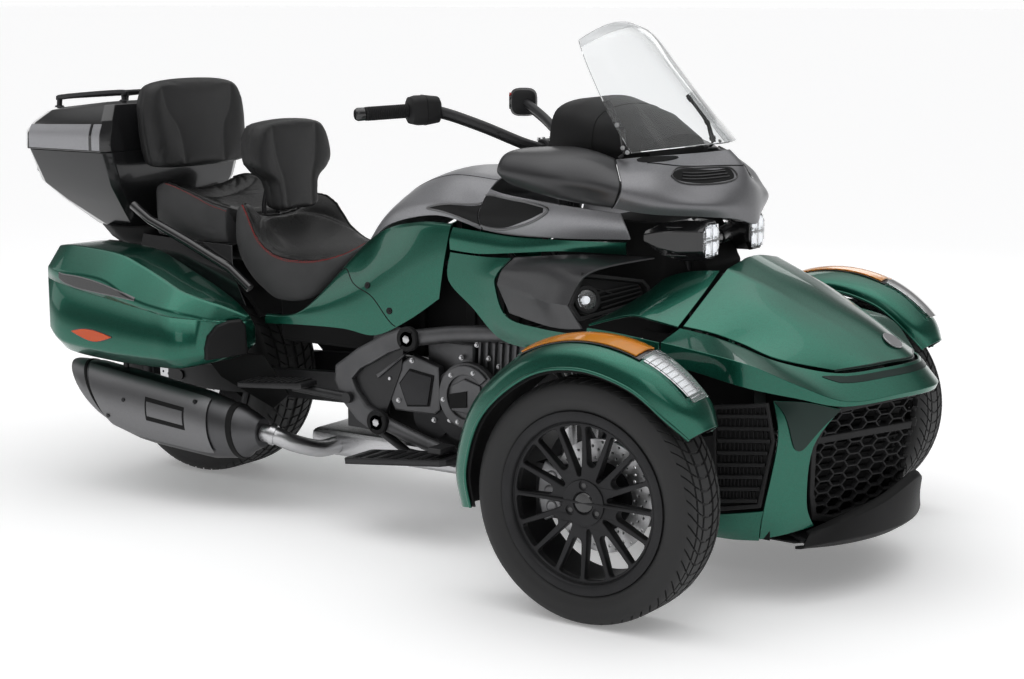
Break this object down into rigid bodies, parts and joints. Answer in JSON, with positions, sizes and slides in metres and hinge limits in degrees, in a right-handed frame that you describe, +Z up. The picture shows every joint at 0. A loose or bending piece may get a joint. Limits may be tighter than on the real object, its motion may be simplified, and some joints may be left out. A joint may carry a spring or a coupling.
{
  "type": "three-wheeled motorcycle",
  "caption": "Touring three-wheeled motorcycle with paired front wheels, one rear wheel, a screen, two seats with backrests, side cases and a top case.",
  "frame": {"origin": "centre of the bounding box on the ground", "axes": "+X forward, +Y to the left of the vehicle, +Z up"},
  "size_m": [2.82, 1.497, 1.327],
  "materials": {
    "paint_green": "metallic gloss",
    "dark_grey": "satin",
    "black_plastic": "satin",
    "frame_black": "satin",
    "engine_metal": "cast",
    "shock_grey": "satin",
    "rubber": "matte",
    "lamp_black": "gloss",
    "clear_screen": "clear",
    "leather": "grained",
    "exhaust_dark": "dark satin",
    "steel": "satin",
    "lamp_red": "gloss",
    "lamp_amber": "gloss",
    "rim_dark": "satin dark",
    "tyre": "matte"
  },
  "bodies": {
    "chassis": {"frame": "frame_black", "seat_rails": "frame_black", "stays": "frame_black", "engine": "engine_metal", "suspension_arms": "frame_black", "front_shocks": "shock_grey", "swingarm": "frame_black", "rear_fender": "black_plastic", "drive_belt": "rubber", "nose_body": "paint_green", "front_grille": "black_plastic", "front_lip": "black_plastic", "side_grilles": "black_plastic", "trunk_tub": "black_plastic", "upper_cowl": "dark_grey", "headlights": "lamp_black", "windshield": "clear_screen", "windshield_arms": "black_plastic", "dash": "black_plastic", "tank_cover": "dark_grey", "side_panels": "paint_green", "intake_shrouds": "dark_grey", "fog_lamps": "lamp_black", "rider_seat": "leather", "passenger_seat": "leather", "rider_backrest": "leather", "backrest_bracket": "frame_black", "passenger_backrest": "leather", "grab_rails": "frame_black", "side_cases": "paint_green", "top_case": "black_plastic", "muffler": "exhaust_dark", "exhaust_pipes": "steel", "footboards": "black_plastic", "tail_lamps": "lamp_red", "plate_holder": "black_plastic"},
    "hood": {"hood": "paint_green"},
    "case_lid_right": {"case_lid_right": "paint_green"},
    "case_lid_left": {"case_lid_left": "paint_green"},
    "top_case_lid": {"top_case_lid": "black_plastic", "luggage_rack": "frame_black"},
    "handlebar": {"handlebar": "frame_black", "grips": "rubber", "switch_housings": "black_plastic"},
    "knuckle_right": {"knuckle_right": "frame_black", "front_fender_right": "paint_green", "fender_lamp_right": "lamp_amber"},
    "knuckle_left": {"knuckle_left": "frame_black", "front_fender_left": "paint_green", "fender_lamp_left": "lamp_amber"},
    "front_wheel_right": {"front_rim_right": "rim_dark", "front_tyre_right": "tyre"},
    "front_wheel_left": {"front_rim_left": "rim_dark", "front_tyre_left": "tyre"},
    "rear_wheel": {"rear_rim": "rim_dark", "rear_tyre": "tyre"}
  },
  "joints": [
    {"name": "steer_right", "type": "hinge", "parent": "chassis", "child": "knuckle_right", "pos_m": [0.88, -0.585, 0.281], "axis": [0, 0, 1], "range_deg": [-25, 25]},
    {"name": "steer_left", "type": "hinge", "parent": "chassis", "child": "knuckle_left", "pos_m": [0.88, 0.585, 0.281], "axis": [0, 0, 1], "range_deg": [-25, 25]},
    {"name": "handlebar_turn", "type": "hinge", "parent": "chassis", "child": "handlebar", "pos_m": [0.35, 0, 1], "axis": [-0.342, 0, 0.9397], "range_deg": [-28, 28]},
    {"name": "front_wheel_right_spin", "type": "hinge", "parent": "knuckle_right", "child": "front_wheel_right", "pos_m": [0.88, -0.654, 0.281], "axis": [0, 1, 0], "continuous": true},
    {"name": "front_wheel_left_spin", "type": "hinge", "parent": "knuckle_left", "child": "front_wheel_left", "pos_m": [0.88, 0.654, 0.281], "axis": [0, 1, 0], "continuous": true},
    {"name": "rear_wheel_spin", "type": "hinge", "parent": "chassis", "child": "rear_wheel", "pos_m": [-0.829, 0, 0.303], "axis": [0, 1, 0], "continuous": true},
    {"name": "hood_hinge", "type": "hinge", "parent": "chassis", "child": "hood", "pos_m": [0.925, 0, 0.728], "axis": [0, -1, 0], "range_deg": [0, 50]},
    {"name": "case_lid_right_hinge", "type": "hinge", "parent": "chassis", "child": "case_lid_right", "pos_m": [-0.756, -0.476, 0.5605], "axis": [0.9888, 0, -0.1495], "range_deg": [0, 75]},
    {"name": "case_lid_left_hinge", "type": "hinge", "parent": "chassis", "child": "case_lid_left", "pos_m": [-0.756, 0.476, 0.5605], "axis": [-0.9888, 0, 0.1495], "range_deg": [0, 75]},
    {"name": "top_case_lid_hinge", "type": "hinge", "parent": "chassis", "child": "top_case_lid", "pos_m": [-1.19, 0.305, 0.951], "axis": [-1, 0, 0], "range_deg": [0, 70]}
  ],
  "couplings": [
    {"joint": "steer_left", "follows": "steer_right", "ratio": 1},
    {"joint": "handlebar_turn", "follows": "steer_right", "ratio": 1.12}
  ]
}
